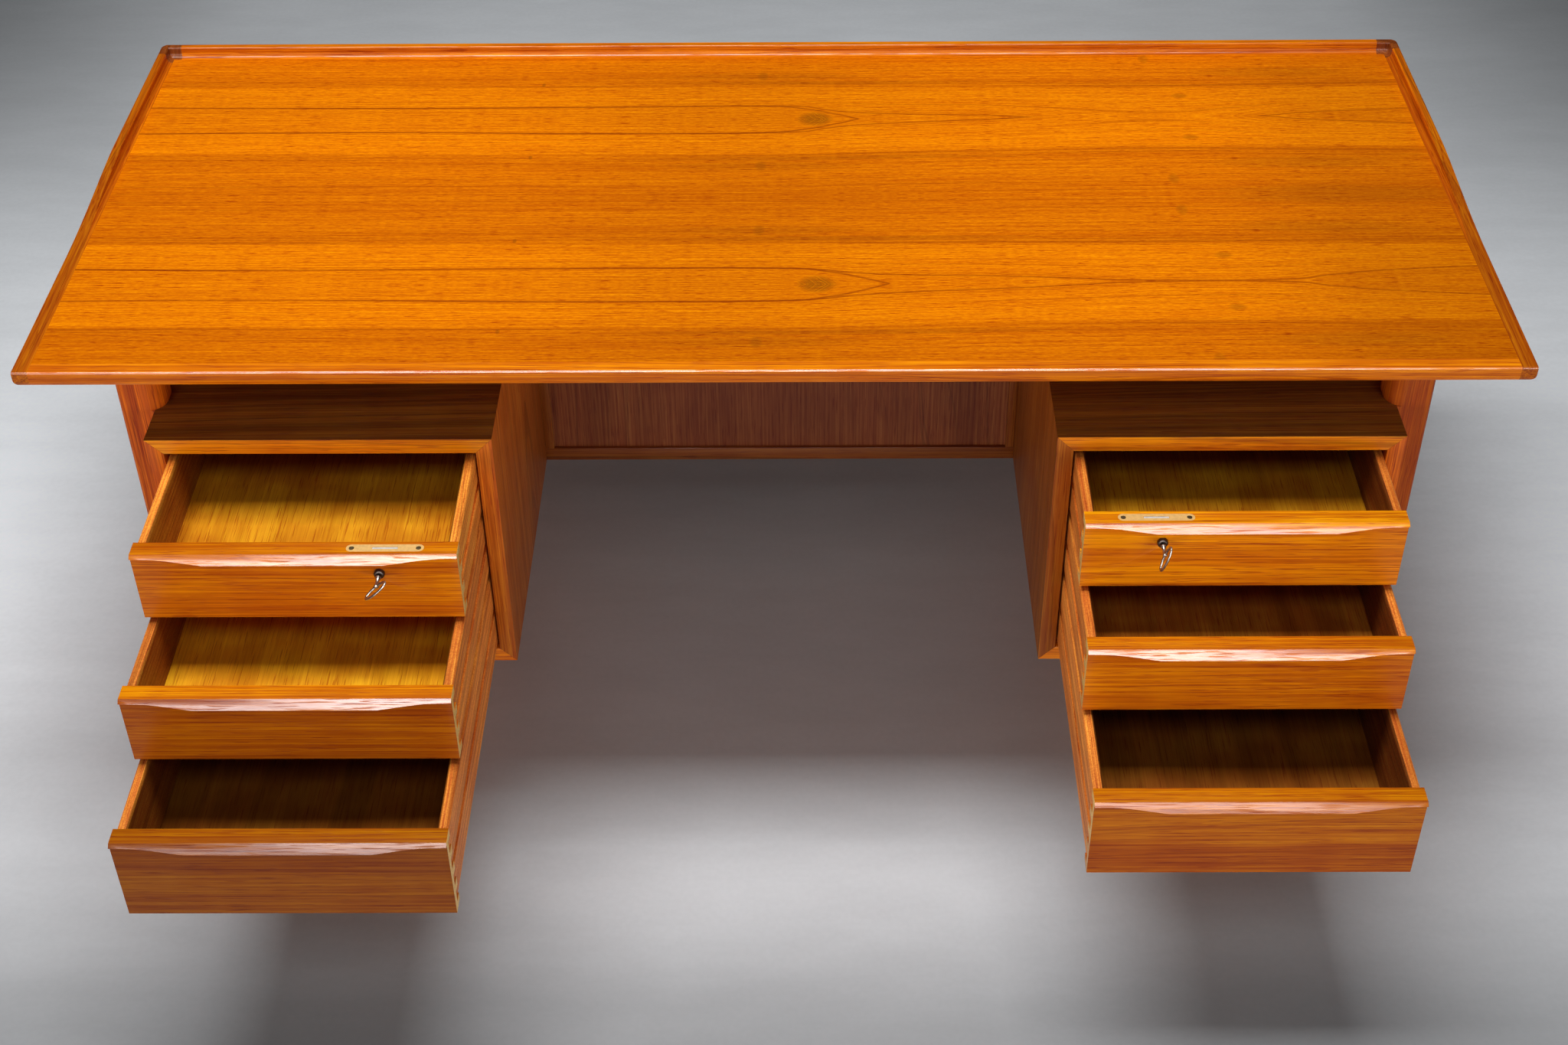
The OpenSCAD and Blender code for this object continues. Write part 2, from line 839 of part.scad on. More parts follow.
in_row(false, 2) drawer_front(deep_h, tails_deep, false);  // left_bottom_front
in_row(false, 2) drawer_sides(deep_h, tails_deep);  // left_bottom_sides
in_row(false, 2) drawer_rear(deep_h);  // left_bottom_rear
in_row(false, 2) drawer_base();  // left_bottom_base
in_row(true, 0) drawer_front(front_h, tails_small, true);  // right_top_front
in_row(true, 0) drawer_sides(front_h, tails_small);  // right_top_sides
in_row(true, 0) drawer_rear(front_h);  // right_top_rear
in_row(true, 0) drawer_base();  // right_top_base
in_row(true, 1) drawer_front(front_h, tails_small, false);  // right_middle_front
in_row(true, 1) drawer_sides(front_h, tails_small);  // right_middle_sides
in_row(true, 1) drawer_rear(front_h);  // right_middle_rear
in_row(true, 1) drawer_base();  // right_middle_base
in_row(true, 2) drawer_front(deep_h, tails_deep, false);  // right_bottom_front
in_row(true, 2) drawer_sides(deep_h, tails_deep);  // right_bottom_sides
in_row(true, 2) drawer_rear(deep_h);  // right_bottom_rear
in_row(true, 2) drawer_base();  // right_bottom_base
in_row(false, 0) lock_unit(front_h);  // left_lock
in_row(false, 0) lock_bolt();  // left_bolt
in_row(false, 0) lock_barrel();  // left_barrel
in_row(false, 0) lock_key(turn_left);  // left_key
in_row(false, 0) plate_screws(front_h);  // left_plate_screws
in_row(true, 0) lock_unit(front_h);  // right_lock
in_row(true, 0) lock_bolt();  // right_bolt
in_row(true, 0) lock_barrel();  // right_barrel
in_row(true, 0) lock_key(180 - turn_right);  // right_key
in_row(true, 0) plate_screws(front_h);  // right_plate_screws
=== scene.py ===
import bpy, math
from mathutils import Matrix, Vector


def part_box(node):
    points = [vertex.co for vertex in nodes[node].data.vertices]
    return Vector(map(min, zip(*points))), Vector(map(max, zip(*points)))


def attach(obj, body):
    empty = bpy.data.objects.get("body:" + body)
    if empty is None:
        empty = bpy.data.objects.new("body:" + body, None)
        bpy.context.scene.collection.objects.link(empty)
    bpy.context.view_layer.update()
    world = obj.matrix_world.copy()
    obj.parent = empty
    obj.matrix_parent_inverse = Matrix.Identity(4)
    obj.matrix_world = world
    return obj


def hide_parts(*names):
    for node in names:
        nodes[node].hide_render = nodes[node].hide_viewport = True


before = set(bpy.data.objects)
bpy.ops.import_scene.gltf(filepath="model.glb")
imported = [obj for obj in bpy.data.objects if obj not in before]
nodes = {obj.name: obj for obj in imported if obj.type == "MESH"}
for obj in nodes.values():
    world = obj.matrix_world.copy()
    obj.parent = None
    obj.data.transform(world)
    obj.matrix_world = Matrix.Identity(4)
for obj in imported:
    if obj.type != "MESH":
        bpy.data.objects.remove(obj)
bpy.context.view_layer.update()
scene = bpy.context.scene


# Camera fitted to the photograph: angles in degrees, place in metres, sensor and lens in millimetres
PITCH, YAW, ROLL = 39.4615, -0.45, -0.469
CAMERA_PLACE = (0.0356, -2.1427, 2.1238)
SENSOR_WIDTH, LENS, SHIFT = 36.0, 49.855, -0.0053


def photo_camera():
    pitch, yaw, roll = (math.radians(v) for v in (PITCH, YAW, ROLL))
    ahead = Vector((math.sin(yaw) * math.cos(pitch), math.cos(yaw) * math.cos(pitch), -math.sin(pitch)))
    side = Vector((math.cos(yaw), -math.sin(yaw), 0.0))
    up = side.cross(ahead)
    side, up = side * math.cos(roll) + up * math.sin(roll), up * math.cos(roll) - side * math.sin(roll)
    cam = bpy.data.objects.new("camera", bpy.data.cameras.new("camera"))
    scene.collection.objects.link(cam)
    cam.data.sensor_width, cam.data.lens, cam.data.shift_x = SENSOR_WIDTH, LENS, SHIFT
    cam.matrix_world = Matrix.Translation(CAMERA_PLACE) @ Matrix(
        [[side.x, up.x, -ahead.x], [side.y, up.y, -ahead.y], [side.z, up.z, -ahead.z]]).to_4x4()
    scene.camera = cam


photo_camera()
scene.view_settings.view_transform = "Standard"


class Tree:
    """Short ways to build a material's nodes."""

    def __init__(self, name):
        self.mat = bpy.data.materials.new(name)
        self.mat.use_nodes = True
        self.tree = self.mat.node_tree
        self.tree.nodes.clear()
        self.out = self.node("ShaderNodeOutputMaterial")
        self.shader = self.node("ShaderNodeBsdfPrincipled")
        self.tree.links.new(self.shader.outputs[0], self.out.inputs["Surface"])
        self.coords = self.node("ShaderNodeTexCoord").outputs["Object"]

    def node(self, kind):
        return self.tree.nodes.new(kind)

    def feed(self, socket, value):
        if isinstance(value, bpy.types.NodeSocket):
            self.tree.links.new(value, socket)
        elif isinstance(value, (tuple, list)) and len(value) == 3 and socket.type == "RGBA":
            socket.default_value = (*value, 1.0)
        else:
            socket.default_value = value

    def math(self, op, a, b=None, c=None, clamp=False):
        n = self.node("ShaderNodeMath")
        n.operation, n.use_clamp = op, clamp
        for i, v in enumerate((a, b, c)):
            if v is not None:
                self.feed(n.inputs[i], v)
        return n.outputs[0]

    def times(self, *values):
        product = values[0]
        for v in values[1:]:
            product = self.math("MULTIPLY", product, v)
        return product

    def vmath(self, op, a, b):
        n = self.node("ShaderNodeVectorMath")
        n.operation = op
        self.feed(n.inputs[0], a)
        self.feed(n.inputs[1], b)
        return n.outputs["Vector"]

    def split(self, v):
        n = self.node("ShaderNodeSeparateXYZ")
        self.feed(n.inputs[0], v)
        return n.outputs[0], n.outputs[1], n.outputs[2]

    def join(self, x, y, z):
        n = self.node("ShaderNodeCombineXYZ")
        for i, v in enumerate((x, y, z)):
            self.feed(n.inputs[i], v)
        return n.outputs[0]

    def noise(self, vector, scale=1.0, detail=2.0, rough=0.5, w=None):
        n = self.node("ShaderNodeTexNoise")
        n.noise_dimensions = "3D" if w is None else "1D"
        if w is None:
            self.feed(n.inputs["Vector"], vector)
        else:
            self.feed(n.inputs["W"], w)
        n.inputs["Scale"].default_value = scale
        n.inputs["Detail"].default_value = detail
        n.inputs["Roughness"].default_value = rough
        return n.outputs["Fac"]

    def streaks(self, along, across, per_along, per_across, detail, rough=0.5, offset=0.0):
        """Noise drawn out along the grain, by its changes per metre along and across."""
        place = self.join(self.times(along, per_along), self.times(across, per_across), offset)
        return self.noise(place, 1.0, detail, rough)

    def ramp(self, value, low, high, to_low=0.0, to_high=1.0, smooth=True):
        n = self.node("ShaderNodeMapRange")
        n.interpolation_type = "SMOOTHSTEP" if smooth else "LINEAR"
        for i, v in enumerate((value, low, high, to_low, to_high)):
            self.feed(n.inputs[i], v)
        return n.outputs[0]

    def curve(self, value, span, reach, points):
        """Smooth curve through the points, over span and with values within reach."""
        n = self.node("ShaderNodeFloatCurve")
        line = n.mapping.curves[0]
        places = [((a - span[0]) / (span[1] - span[0]), (b - reach[0]) / (reach[1] - reach[0]))
                  for a, b in points]
        line.points[0].location, line.points[1].location = places[0], places[-1]
        for place in places[1:-1]:
            line.points.new(*place)
        n.mapping.update()
        self.feed(n.inputs["Value"], self.ramp(value, span[0], span[1], smooth=False))
        return self.math("MULTIPLY_ADD", n.outputs[0], reach[1] - reach[0], reach[0])

    def mix(self, fac, a, b):
        n = self.node("ShaderNodeMix")
        n.data_type = "RGBA"
        self.feed(n.inputs[0], fac)
        self.feed(n.inputs[6], a)
        self.feed(n.inputs[7], b)
        return n.outputs[2]

    def scale_colour(self, colour, factor):
        n = self.node("ShaderNodeVectorMath")
        n.operation = "SCALE"
        self.feed(n.inputs[0], colour)
        self.feed(n.inputs["Scale"], factor)
        return n.outputs["Vector"]

    def tint(self, colour, shade):
        """Darker streaks of teak are redder, so green and blue fall faster than red."""
        redder = self.math("POWER", shade, 2.0)
        return self.vmath("MULTIPLY", colour, self.join(shade, redder, redder))

    def facing(self, axis):
        """How far a face's own normal points along an axis, softened arrises left out."""
        return self.split(self.node("ShaderNodeNewGeometry").outputs["True Normal"])["XYZ".index(axis)]

    def gain(self, colour, share, factors):
        """The colour times the factors, by a share from zero to one."""
        return self.mix(share, colour, self.vmath("MULTIPLY", colour, factors))

    def noses(self, steep, gentle):
        """One where a slope looks up and forward, such as a pull's nose or an arris."""
        normal = self.split(self.node("ShaderNodeNewGeometry").outputs["Normal"])
        up = self.ramp(normal[2], steep, steep + 0.2)
        return self.times(up, self.ramp(normal[1], gentle - 0.2, gentle, 1.0, 0.0))

    def bump(self, height, distance, strength):
        n = self.node("ShaderNodeBump")
        n.inputs["Distance"].default_value = distance
        n.inputs["Strength"].default_value = strength
        self.feed(n.inputs["Height"], height)
        self.tree.links.new(n.outputs[0], self.shader.inputs["Normal"])

    def set(self, **values):
        for key, v in values.items():
            self.feed(self.shader.inputs[key.replace("_", " ")], v)


# Steps that a seed moves a piece's grain along the grain and the two ways across, in metres
SEED_STEPS = (0.731, 0.117, 0.219)
# Changes per metre of each part of the wood's grain, along it and across it
WARP, GLOW, FIBRE, PORE, FINE = (1.3, 6.0), (16.0, 9.0), (5.0, 340.0), (24.0, 720.0), (2.2, 640.0)
NOSE_FLECK, NOSE_SHEEN = (22.0, 620.0), (60.0, 520.0)
# How far the rings wander, share of light that a pore takes, and the oil's sheen and the grain's depth
WARP_DEPTH, PORE_SHARE = 0.03, 0.275
COAT_ROUGH, COAT_IOR, GRAIN_DEPTH = 0.26, 2.2, 0.00025
# From and to where a face counts as level or as end grain, and as a front, by its normal. Distances from a
# drawer's middle between which its inward faces begin, and half the soft edge of a darker stripe, in metres
LEVEL, FRONTAL = (0.9, 0.97), (-0.6, -0.4)
INWARD_FACES, STRIPE_EDGE = (-0.10, -0.06), 0.001


def grain_coords(t, axis, seed):
    """Coordinates with the first along the grain, moved by a seed so that no two pieces match."""
    x, y, z = t.split(t.coords)
    along = {"X": (x, y, z), "Y": (y, x, z), "Z": (z, x, y)}[axis]
    return [t.math("ADD", c, seed * step) for c, step in zip(along, SEED_STEPS)]


def by_place(t, colour, axis, warp, end_tone, mottle, inside, lift, band, top_gain, front_gain):
    """Tones by a face's look or height; all but end grain, mottle and the stripe are painted light and shade.
    """
    if end_tone:
        grit = t.ramp(t.noise(t.coords, 900.0, 2.0), 0.3, 0.7, 0.75, 1.15)
        ends = t.ramp(t.math("ABSOLUTE", t.facing(axis)), *LEVEL)
        colour = t.mix(ends, colour, t.scale_colour(end_tone, grit))
    if mottle:
        patches = t.noise(t.coords, 520.0, 3.0, 0.7)
        colour = t.tint(colour, t.ramp(patches, 0.3, 0.7, 1.0 + mottle, 1.0 - mottle, smooth=False))
    # Painted light and shade on faces that look towards a middle x
    if inside:
        inward = t.times(t.facing("X"), t.math("SUBTRACT", t.split(t.coords)[0], inside[0]))
        colour = t.gain(colour, t.ramp(inward, *INWARD_FACES, 1.0, 0.0), inside[1])
    # Painted light and shade that change with height
    if lift:
        colour = t.scale_colour(colour, t.ramp(t.split(t.coords)[2], *lift))
    if band:
        height = t.math("MULTIPLY_ADD", warp, 0.2, t.split(t.coords)[2])
        below = t.ramp(height, band[0] - STRIPE_EDGE, band[0] + STRIPE_EDGE, 1.0, 0.0)
        colour = t.mix(below, colour, t.tint(colour, band[1]))
    # Painted light and shade on level faces
    if top_gain:
        colour = t.gain(colour, t.ramp(t.facing("Z"), *LEVEL), top_gain)
    # Painted light on faces that look to the front
    if front_gain:
        colour = t.gain(colour, t.ramp(t.facing("Y"), *FRONTAL, 1.0, 0.0), front_gain)
    return colour


def wood(name, axis, seed, light, mid, dark, centre=(0.03, -0.09), slope=0.02, ring=150.0, lines=0.5,
         rough=0.42, coat=0.06, shine=0.1, flame=0.5, streaks=1.0, nose=1.0, steep=0.22, gentle=-0.3,
         end_tone=None, mottle=0.0, inside=None, lift=None, band=None, top_gain=None, front_gain=None):
    """Solid or veneered teak: growth rings round a distant pith, fibre streaks, pores and a flaming sheen.

    centre is the pith's place across the grain and ring the rings per metre. nose, steep and gentle say how
    much light a slope that looks up and forward throws back, and which slopes do. end_tone is the colour of
    end grain. Painted light and shade come from a middle x and the gain of faces that look towards it, two
    heights and the gains there, and the gains of level faces and of faces that look to the front. band is
    the height of a darker lower stripe's edge and its share of light.
    """
    t = Tree(name)
    u, v, w = grain_coords(t, axis, seed)

    def grain(per_metre, detail, roughness=0.5):
        return t.noise(t.join(t.times(u, per_metre[0]), t.times(v, per_metre[1]), t.times(w, per_metre[1])),
                       1.0, detail, roughness)

    warp = t.math("MULTIPLY_ADD", grain(WARP, 2.0), WARP_DEPTH, -WARP_DEPTH / 2)
    dv = t.math("SUBTRACT", v, centre[0] + seed * SEED_STEPS[1])
    dw = t.math("SUBTRACT", w, centre[1] + seed * SEED_STEPS[2])
    r = t.math("SQRT", t.math("ADD", t.times(dv, dv), t.times(dw, dw)))
    r = t.math("ADD", t.math("ADD", r, warp), t.times(u, slope))
    broad = t.noise(None, 1.0, 3.0, 0.55, w=t.times(r, ring * 0.3))
    rings = t.noise(None, 1.0, 5.0, 0.72, w=t.times(r, ring * 1.5))
    fibre = grain(FIBRE, 4.0, 0.7)
    hole = t.ramp(grain(PORE, 1.0), 0.60, 0.68)
    colour = t.mix(t.ramp(broad, 0.38, 0.66), light, mid)
    colour = t.mix(t.times(t.ramp(rings, 0.56, 0.66), lines), colour, dark)
    shade = t.times(t.ramp(fibre, 0.30, 0.72, 1.0 + 0.18 * streaks, 1.0 - 0.34 * streaks, smooth=False),
                    t.ramp(grain(GLOW, 2.0), 0.3, 0.7, 1.0 - 0.10 * flame, 1.0 + 0.10 * flame),
                    t.math("MULTIPLY_ADD", hole, -PORE_SHARE, 1.0),
                    t.ramp(grain(FINE, 1.0), 0.3, 0.7, 1.0 + 0.10 * streaks, 1.0 - 0.14 * streaks,
                           smooth=False))
    colour = by_place(t, t.tint(colour, shade), axis, warp, end_tone, mottle, inside, lift, band, top_gain,
                      front_gain)
    fleck = t.times(t.ramp(grain(NOSE_FLECK, 2.0, 0.6), 0.54, 0.62, nose, nose * 0.08),
                    t.ramp(grain(NOSE_SHEEN, 2.0), 0.35, 0.65, 0.78, 1.0))
    polish = t.math("MULTIPLY_ADD", t.times(t.noses(steep, gentle), fleck), 1.0 - coat, coat)
    t.set(Base_Color=colour, Roughness=t.math("MULTIPLY_ADD", fibre, 0.16, rough - 0.06))
    t.set(Coat_Weight=polish, Coat_Roughness=COAT_ROUGH, Coat_IOR=COAT_IOR, Specular_IOR_Level=shine)
    t.bump(t.math("SUBTRACT", t.times(fibre, 0.35), hole), GRAIN_DEPTH, 0.6)
    return t.mat


# The veneer's figure, in metres from the desk's middle and across a leaf. Half width of the ring that closes
# at the knot, and of the ring outside it on the near and the far leaves
SPAN, ACROSS = (-0.86, 0.86), (-0.04, 0.04)
KNOT_RING = [(-0.86, 0.0345), (-0.5, 0.0325), (-0.2, 0.0355), (0.02, 0.0345), (0.06, 0.028), (0.10, 0.015),
             (0.135, 0.0), (0.18, -0.02), (0.86, -0.03)]
NEAR_RING = [(-0.86, 0.0345), (-0.5, 0.0325), (-0.2, 0.0355), (0.02, 0.0345), (0.09, 0.025), (0.16, 0.018),
             (0.26, 0.0135), (0.36, 0.006), (0.42, 0.002), (0.58, 0.002), (0.66, 0.013), (0.72, 0.021),
             (0.86, 0.032)]
FAR_RING = [(-0.86, 0.0345), (-0.5, 0.0325), (-0.2, 0.0355), (0.02, 0.0345), (0.06, 0.026), (0.11, 0.016),
            (0.18, 0.010), (0.28, 0.004), (0.36, -0.004), (0.50, -0.012), (0.63, -0.001), (0.68, 0.007),
            (0.75, 0.014), (0.86, 0.022)]
# Tone across a leaf from its seam, over LEAF_REACH, and gains from front to back and from left to right
LEAF_REACH = 0.2
LEAF_TONES = [(0.0, 0.60), (0.10, 0.64), (0.20, 0.74), (0.28, 0.88), (0.36, 0.86), (0.43, 0.74), (0.46, 0.32),
              (0.55, 0.28), (0.68, 0.40), (0.80, 0.34), (0.90, 0.20), (1.0, 0.16)]
DEPTH_SPAN, DEPTH_REACH = (-0.17, 0.57), (0.8, 1.3)
DEPTH_TONES = [(-0.17, 0.88), (-0.05, 0.93), (0.10, 0.96), (0.20, 1.0), (0.33, 1.03), (0.46, 1.0),
               (0.50, 1.07), (0.57, 1.12)]
LONG_REACH = (0.8, 1.2)
LONG_TONES = [(-0.86, 1.0), (-0.65, 1.04), (-0.38, 1.05), (-0.08, 0.95), (0.10, 1.0), (0.24, 1.07),
              (0.48, 1.10), (0.62, 1.0), (0.74, 0.86), (0.86, 0.84)]
# Place of the first seam, width of a leaf, and how far the seam drifts from a straight line along the desktop
SEAM, LEAF_WIDTH = 0.0059, 0.1966
SEAM_DRIFT = [(-0.86, 0.0), (-0.5, 0.002), (-0.1, 0.0035), (0.1, 0.003), (0.3, 0.0), (0.86, 0.0)]
# Dark growth lines that run the whole length: distance from the seam, width and depth
GROWTH_LINES = ((0.0485, 0.0009, 0.28), (0.0585, 0.0008, 0.22), (0.071, 0.0008, 0.16), (0.0925, 0.0020, 0.42),
                (0.0985, 0.0012, 0.34), (0.104, 0.0020, 0.20), (0.115, 0.0011, 0.26), (0.133, 0.0010, 0.22),
                (0.150, 0.0009, 0.22), (0.168, 0.0011, 0.30), (0.187, 0.0009, 0.26))
# Smudges and small knots: place along and across a leaf, half length, half width and depth
SMUDGES = ((-0.020, 0.119, 0.006, 0.010, 0.34), (-0.020, 0.119, 0.10, 0.010, 0.16),
           (0.535, 0.055, 0.009, 0.006, 0.36), (0.50, 0.160, 0.006, 0.010, 0.34),
           (-0.315, 0.097, 0.0022, 0.0042, 0.50), (0.08, 0.100, 0.22, 0.004, 0.22),
           (0.66, 0.12, 0.10, 0.012, 0.20), (0.70, 0.19, 0.13, 0.014, 0.22))
# The large knot: place along the leaf, half length and half width
KNOT_PLACE, KNOT_LONG, KNOT_WIDE = 0.050, 0.024, 0.019
# How much further left the far leaves' knot ring closes, and the rings' width where they run straight
FAR_SHIFT, RING_WIDTH = 0.028, 0.0345
VENEER_DARK, VENEER_LIGHT = (0.62, 0.134, 0.0004), (0.92, 0.250, 0.0006)
LINE_TONE, SMUDGE_TONE, KNOT_TONE = (0.26, 0.032, 0.001), (0.26, 0.070, 0.002), (0.26, 0.074, 0.002)


def leaf_tones(t, place):
    """Tone across a leaf."""
    bands = t.node("ShaderNodeValToRGB")
    elements = bands.color_ramp.elements
    for element, (at, value) in zip(elements, (LEAF_TONES[0], LEAF_TONES[-1])):
        element.position, element.color = at, (value, value, value, 1.0)
    for at, value in LEAF_TONES[1:-1]:
        elements.new(at).color = (value, value, value, 1.0)
    t.feed(bands.inputs[0], t.times(place, 1 / LEAF_REACH))
    return bands.outputs["Color"]


def leaf_wood(name):
    """The desktop's veneer: four book-matched leaves, whose rings close in points right of the knots."""
    t = Tree(name)
    x, y, _ = t.split(t.coords)
    drift = t.curve(x, SPAN, ACROSS, SEAM_DRIFT)
    wave = t.streaks(x, y, 2.2, 9.0, 2.0, offset=3.7)
    v = t.math("PINGPONG", t.math("ADD", t.math("SUBTRACT", y, SEAM), drift), LEAF_WIDTH)
    v = t.math("ADD", v, t.math("MULTIPLY_ADD", wave, 0.007, -0.0035))
    far = t.ramp(y, 0.19, 0.21)
    near_ring, far_ring = t.curve(x, SPAN, ACROSS, NEAR_RING), t.curve(x, SPAN, ACROSS, FAR_RING)
    ring = t.math("ADD", t.times(near_ring, t.math("SUBTRACT", 1.0, far)), t.times(far_ring, far))
    knot_ring = t.curve(t.math("MULTIPLY_ADD", far, FAR_SHIFT, x), SPAN, ACROSS, KNOT_RING)
    # Near the seam the grain follows the ring, further out it runs straight
    near = t.math("POWER", 2.718, t.times(v, -20.0))
    r = t.math("MULTIPLY_ADD", t.math("SUBTRACT", RING_WIDTH, ring), near, v)

    tone = leaf_tones(t, t.math("MULTIPLY_ADD", t.ramp(x, -0.1, 0.7), 0.006, r))
    broad = t.streaks(x, r, 1.4, 70.0, 4.0, 0.6)
    tone = t.math("ADD", tone, t.math("MULTIPLY_ADD", broad, 0.9, -0.45), clamp=True)
    colour = t.mix(tone, VENEER_DARK, VENEER_LIGHT)
    streak = t.streaks(x, r, 1.6, 420.0, 5.0, 0.75)
    colour = t.tint(colour, t.ramp(streak, 0.28, 0.72, 1.18, 0.78, smooth=False))
    tone = t.times(t.curve(x, SPAN, LONG_REACH, LONG_TONES), t.curve(y, DEPTH_SPAN, DEPTH_REACH, DEPTH_TONES))
    right_end = t.times(t.ramp(x, 0.35, 0.80, 0.0, 0.11), t.ramp(y, 0.06, 0.18))
    colour = t.scale_colour(colour, t.times(tone, t.math("ADD", right_end, 1.0)))

    beside_ring = t.math("SUBTRACT", v, ring)
    lines = [(beside_ring, 0.0016, 0.62), (t.math("SUBTRACT", v, knot_ring), 0.0018, 0.68),
             (t.math("SUBTRACT", beside_ring, 0.005), 0.0008, 0.18)]
    lines += [(t.math("SUBTRACT", r, at), width, depth) for at, width, depth in GROWTH_LINES]
    for i, (off, width, depth) in enumerate(lines):
        fade = t.noise(t.join(t.times(x, 2.6), i * 17.3, t.times(y, 18.0)), 1.0, 2.0)
        least = t.ramp(x, -0.1, 0.02, 0.35, 0.8) if i < 2 else 0.15
        cut = t.times(t.ramp(t.math("ABSOLUTE", off), 0.0, width * 1.7, depth, 0.0),
                      t.ramp(fade, 0.36, 0.58, least, 1.0))
        colour = t.mix(cut, colour, LINE_TONE)

    def oval(along, across, half_long, half_wide):
        """Square of the distance from a place in the leaf, with one at the oval's edge."""
        dx = t.times(t.math("SUBTRACT", x, along), 1 / half_long)
        dv = t.times(t.math("SUBTRACT", v, across), 1 / half_wide)
        return t.math("ADD", t.times(dx, dx), t.times(dv, dv))

    for along, across, half_long, half_wide, depth in SMUDGES:
        d = t.math("ADD", oval(along, across, half_long, half_wide),
                   t.math("MULTIPLY_ADD", streak, 1.6, -0.8))
        colour = t.mix(t.ramp(d, 0.0, 2.2, depth, 0.0), colour, SMUDGE_TONE)
    bend = t.math("MULTIPLY_ADD", v, 0.9, t.math("MULTIPLY_ADD", t.noise(t.coords, 90.0, 2.0), 0.006, x))
    swirl = t.noise(None, 1.0, 3.0, 0.7, w=t.times(bend, 420.0))
    knot = t.times(t.ramp(oval(KNOT_PLACE, 0.0, KNOT_LONG, KNOT_WIDE), 0.1, 1.3, 0.85, 0.0),
                   t.ramp(swirl, 0.38, 0.60, 0.35, 1.0))
    colour = t.mix(knot, colour, KNOT_TONE)

    fibre = t.streaks(x, v, 14.0, 620.0, 3.0, 0.65)
    hole = t.ramp(t.streaks(x, v, 42.0, 640.0, 1.0), 0.60, 0.70)
    fleck = t.streaks(x, v, 130.0, 430.0, 2.0, 0.6, offset=5.0)
    shade = t.times(t.ramp(fibre, 0.3, 0.72, 1.12, 0.84, smooth=False),
                    t.math("MULTIPLY_ADD", hole, -0.35, 1.0),
                    t.ramp(fleck, 0.34, 0.66, 1.09, 0.90, smooth=False))
    t.set(Base_Color=t.tint(colour, shade), Roughness=t.math("MULTIPLY_ADD", fibre, 0.14, 0.32))
    t.set(Coat_Weight=0.04, Coat_Roughness=0.15, Coat_IOR=1.5, Specular_IOR_Level=0.05)
    t.bump(t.math("SUBTRACT", t.times(fibre, 0.3), hole), 0.00018, 0.5)
    return t.mat


# Metals: scratches per metre along each axis, their depth in metres, and a dark patch's share of colour
SCRATCHES, SCRATCH_DEPTH, TARNISH = (300.0, 2600.0, 2600.0), 0.00004, 0.35


def metal(name, colour, rough, wear, metallic=1.0):
    """Old plated or solid metal with fine scratches, and a tarnish in patches whose strength is wear."""
    t = Tree(name)
    patch = t.noise(t.coords, 240.0, 3.0)
    scratch = t.noise(t.vmath("MULTIPLY", t.coords, SCRATCHES), 1.0, 2.0)
    tone = t.mix(t.ramp(patch, 0.35, 0.72, 0.0, wear), colour, tuple(c * TARNISH for c in colour))
    t.set(Base_Color=tone, Metallic=metallic, Roughness=t.math("MULTIPLY_ADD", scratch, 0.25, rough - 0.1))
    t.bump(scratch, SCRATCH_DEPTH, 0.5)
    return t.mat


# Tones in linear light; the shaded, lip, inner and panel tones are darker copies that carry painted shade
TEAK = dict(light=(0.86, 0.240, 0.001), mid=(0.72, 0.168, 0.001), dark=(0.42, 0.066, 0.001))
RED = dict(light=(0.68, 0.136, 0.004), mid=(0.53, 0.094, 0.003), dark=(0.28, 0.040, 0.002))
LIP = dict(light=(0.60, 0.150, 0.001), mid=(0.42, 0.094, 0.001), dark=(0.20, 0.038, 0.001))
BLOCK = dict(light=(0.34, 0.086, 0.012), mid=(0.21, 0.050, 0.007), dark=(0.09, 0.020, 0.004))
SIDE = dict(light=(0.66, 0.200, 0.034), mid=(0.50, 0.138, 0.022), dark=(0.24, 0.058, 0.010))
INNER = dict(light=(0.44, 0.120, 0.014), mid=(0.35, 0.090, 0.010), dark=(0.17, 0.042, 0.006))
SHADED = dict(light=(0.33, 0.110, 0.010), mid=(0.22, 0.070, 0.006), dark=(0.10, 0.030, 0.004))
PANEL = dict(light=(0.29, 0.080, 0.020), mid=(0.22, 0.055, 0.013), dark=(0.11, 0.026, 0.006))
PLY = dict(light=(0.82, 0.345, 0.012), mid=(0.70, 0.270, 0.008), dark=(0.48, 0.160, 0.005))
BROWN = dict(light=(0.40, 0.130, 0.012), mid=(0.30, 0.094, 0.008), dark=(0.16, 0.046, 0.005))


def toned(tones, share, green=None):
    """The tones times a share, with a share of its own for green if one is given."""
    return {k: (v[0] * share, v[1] * (green or share), v[2] * share) for k, v in tones.items()}


# For each drawer: share of the teak's red and green that the front keeps, with painted shade on the lower
# and left fronts and painted light on the right top one, painted light and shade on its top edge, shine of
# the pull's nose, height and share of light of a darker lower stripe, and the tones of the bottom
DRAWERS = {
    "left_top": dict(front=(0.86, 0.86), top=(0.92, 0.95, 0.9), nose=1.0, stripe=None,
                     base=toned(PLY, 0.94, 0.92)),
    "left_middle": dict(front=(0.53, 0.46), top=(1.75, 2.3, 1.0), nose=1.0, stripe=None,
                        base=toned(PLY, 1.10, 1.18)),
    "left_bottom": dict(front=(0.36, 0.35), top=(1.5, 1.65, 1.8), nose=0.44, stripe=None,
                        base=toned(BROWN, 0.66)),
    "right_top": dict(front=(1.10, 1.22), top=(1.08, 1.4, 1.4), nose=0.76, stripe=None,
                      base=toned(PLY, 0.76)),
    "right_middle": dict(front=(0.93, 0.93), top=(0.99, 1.13, 1.0), nose=1.0, stripe=(0.428, 0.90),
                         base=toned(BROWN, 1.25)),
    "right_bottom": dict(front=(0.67, 0.68), top=(1.2, 1.35, 0.9), nose=0.36, stripe=(0.331, 0.80),
                         base=toned(BROWN, 0.72)),
}
